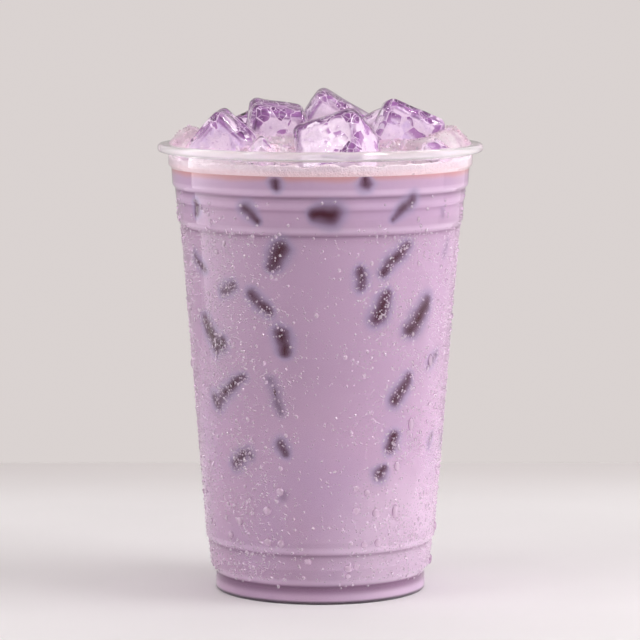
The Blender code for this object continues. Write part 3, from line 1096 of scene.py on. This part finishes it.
def sunk():
    """The dark pieces themselves. Each lies in the drink with its outer side just against the wall."""
    draw = np.random.default_rng(SUNK_SEED + 2)
    sides, rings = SUNK_SIDES, SUNK_RINGS
    blocks, faces, start = [], [], 0
    for at, level, size, lean, width, _ in sunk_pieces():
        lean = math.radians(lean)
        place, outward, sideways, upward = side_frame(np.array([math.radians(at)]), np.array([float(level)]))
        place, outward, sideways, upward = place[0], outward[0], sideways[0], upward[0]
        along = sideways * math.sin(lean) - upward * math.cos(lean)
        across = sideways * math.cos(lean) + upward * math.sin(lean)
        thick = width * SUNK_THICK
        ends = [level - size / 2 * math.cos(lean), level, level + size / 2 * math.cos(lean)]
        gap = max(float(side_radius(h)) - float(np.interp(h, MILK_Z, MILK_R)) for h in ends)
        seat = place - outward * (gap + thick + 0.06)
        points = []
        for i in range(rings):
            t = -1 + 2 * i / (rings - 1)
            girth = (1 - abs(t) ** 3.5) ** 0.5 * (1 + draw.normal() * 0.08) + 0.03
            sag = 0.0011 * (t * size / 2) ** 2 * 12
            for k in range(sides):
                a = math.tau * k / sides
                swell = 1 + draw.normal() * 0.05
                spot = seat + along * (t * size / 2)
                spot = spot + across * (math.cos(a) * width * 0.36 * girth * swell)
                spot = spot + outward * (math.sin(a) * thick * girth * swell - sag)
                points.append(spot)
        for i in range(rings - 1):
            for k in range(sides):
                n = (k + 1) % sides
                faces.append((start + i * sides + k, start + i * sides + n,
                              start + (i + 1) * sides + n, start + (i + 1) * sides + k))
        faces.append(tuple(start + k for k in reversed(range(sides))))
        faces.append(tuple(start + (rings - 1) * sides + k for k in range(sides)))
        blocks += points
        start += len(points)
    mesh = mesh_of("sunk_pieces", blocks, faces)
    g = Graph("dark_piece_look")
    colour = g.mix(g.ramp(g.noise(g.place(), 0.8, 2.0), 0.35, 0.7), SUNK_CORE, SUNK_WARM)
    g.set(Base_Color=colour, Roughness=0.6, Specular_IOR_Level=0.1)
    return piece("sunk_pieces", mesh, g.material)


def pale_wall(scene):
    """The even light all round, which the camera sees as the wall."""
    world = bpy.data.worlds.new("soft_grey")
    world.use_nodes = True
    tree = world.node_tree
    sky = tree.nodes["Background"]
    sky.inputs["Color"].default_value = (*WALL_COLOUR, 1.0)
    path = tree.nodes.new("ShaderNodeLightPath")
    level = node_of(tree, "ShaderNodeMath", operation="MULTIPLY")
    for i, (ray, share) in enumerate((("Is Diffuse Ray", AMBIENT), ("Is Glossy Ray", GLOSS_AMBIENT))):
        dim = tree.nodes.new("ShaderNodeMapRange")
        dim.inputs["To Min"].default_value = 1.0
        dim.inputs["To Max"].default_value = share
        tree.links.new(path.outputs[ray], dim.inputs["Value"])
        tree.links.new(dim.outputs["Result"], level.inputs[i])
    tree.links.new(level.outputs[0], sky.inputs["Strength"])
    scene.world = world


def table_top(scene):
    mesh = bpy.data.meshes.new("table")
    row = TABLE_CUTS + 1
    points = [
        (TABLE_WIDTH * (i / TABLE_CUTS - 0.5), TABLE_NEAR + (TABLE_FAR - TABLE_NEAR) * k / TABLE_CUTS, 0.0)
        for k in range(row) for i in range(row)
    ]
    faces = [
        (k * row + i, k * row + i + 1, (k + 1) * row + i + 1, (k + 1) * row + i)
        for k in range(TABLE_CUTS) for i in range(TABLE_CUTS)
    ]
    mesh.from_pydata(points, [], faces)
    table = bpy.data.objects.new("table", mesh)
    scene.collection.objects.link(table)
    g = Graph("table_look")
    at = g.place(1.0)
    cloud = g.noise(at, 9.0, 3.0, 0.5)
    top = g.mix(g.ramp(cloud, 0.3, 0.7), TABLE_COLOUR, tuple(c * 0.965 for c in TABLE_COLOUR))
    top = g.mix(g.ramp(g.separate(at)["Y"], 0.14, TABLE_FAR, 0.0, 0.4), top, WALL_COLOUR)
    g.set(Base_Color=top, Roughness=0.8, Specular_IOR_Level=0.0)
    mesh.materials.append(g.material)


def aimed(place, aim):
    return (Vector(aim) - Vector(place)).to_track_quat("-Z", "Y").to_euler()


def softbox(name, place, aim, width, height, power):
    data = bpy.data.lights.new(name, "AREA")
    data.shape = "RECTANGLE"
    data.size, data.size_y = width, height
    data.energy = power
    lamp = bpy.data.objects.new(name, data)
    lamp.location = place
    lamp.rotation_euler = aimed(place, aim)
    lamp.visible_camera = False
    bpy.context.scene.collection.objects.link(lamp)
    return lamp


def gloss_card(name, place, aim, width, height, radiance, *fades):
    """A card that shows in gloss alone, with a fade across it and a fade up it."""
    lamp = softbox(name, place, aim, width, height, radiance * math.pi * width * height)
    lamp.visible_diffuse = False
    lamp.visible_volume_scatter = False
    if not fades:
        return
    lamp.data.use_nodes = True
    tree = lamp.data.node_tree
    shape = tree.nodes.new("ShaderNodeNewGeometry")
    across = tree.nodes.new("ShaderNodeSeparateXYZ")
    tree.links.new(shape.outputs["Parametric"], across.inputs[0])
    both = node_of(tree, "ShaderNodeMath", operation="MULTIPLY")
    for i, (low, high) in enumerate(fades):
        ramp = tree.nodes.new("ShaderNodeMapRange")
        ramp.inputs["From Min"].default_value = low
        ramp.inputs["From Max"].default_value = high
        tree.links.new(across.outputs[i], ramp.inputs["Value"])
        tree.links.new(ramp.outputs["Result"], both.inputs[i])
    tree.links.new(both.outputs[0], tree.nodes["Emission"].inputs["Strength"])


def lamps():
    key = softbox("key_right", (0.66, -0.13, 0.30), (0, 0, 0.05), *LAMP_SIZE, 1.07)
    key.visible_glossy = False
    key.data.spread = math.radians(LAMP_SPREAD)
    fill = softbox("fill_left", (-0.62, -0.30, 0.33), (0, 0, 0.08), *LAMP_SIZE, 0.55)
    fill.data.spread = math.radians(LAMP_SPREAD)
    over = softbox("over", (0.05, 0.20, 0.85), (0, 0, 0.1), 0.55, 0.4, 0.5)
    over.visible_glossy = False
    over.visible_transmission = False
    gloss_card("card_left", (-0.235, -0.045, 0.17), (0, 0, 0.17), 0.30, 0.36, 3.8, (1, 0), (0, 0.45))
    gloss_card("card_right", (0.118, 0.030, 0.09), (0, 0.030, 0.09), 0.18, 0.18, 0.3, (0, 1), (0, 0.2))
    gloss_card("sparkle_right", (0.42, -0.42, 0.62), (0, 0, 0.08), 0.18, 0.18, 60.0)
    gloss_card("sparkle_left", (-0.50, -0.30, 0.60), (0, 0, 0.08), 0.12, 0.12, 36.0)


def studio():
    scene = bpy.context.scene
    scene.view_settings.view_transform = "Standard"
    scene.view_settings.look = "None"
    pale_wall(scene)
    table_top(scene)
    lamps()
    data = bpy.data.cameras.new("photo_view")
    data.lens = LENS
    data.sensor_width = SENSOR
    camera = bpy.data.objects.new("photo_view", data)
    camera.location = CAMERA_PLACE
    camera.rotation_euler = aimed(CAMERA_PLACE, CAMERA_AIM)
    scene.collection.objects.link(camera)
    scene.camera = camera


studio()
cup()
drink()
sunk()
froth()
ice()
loose_bits()
beads()
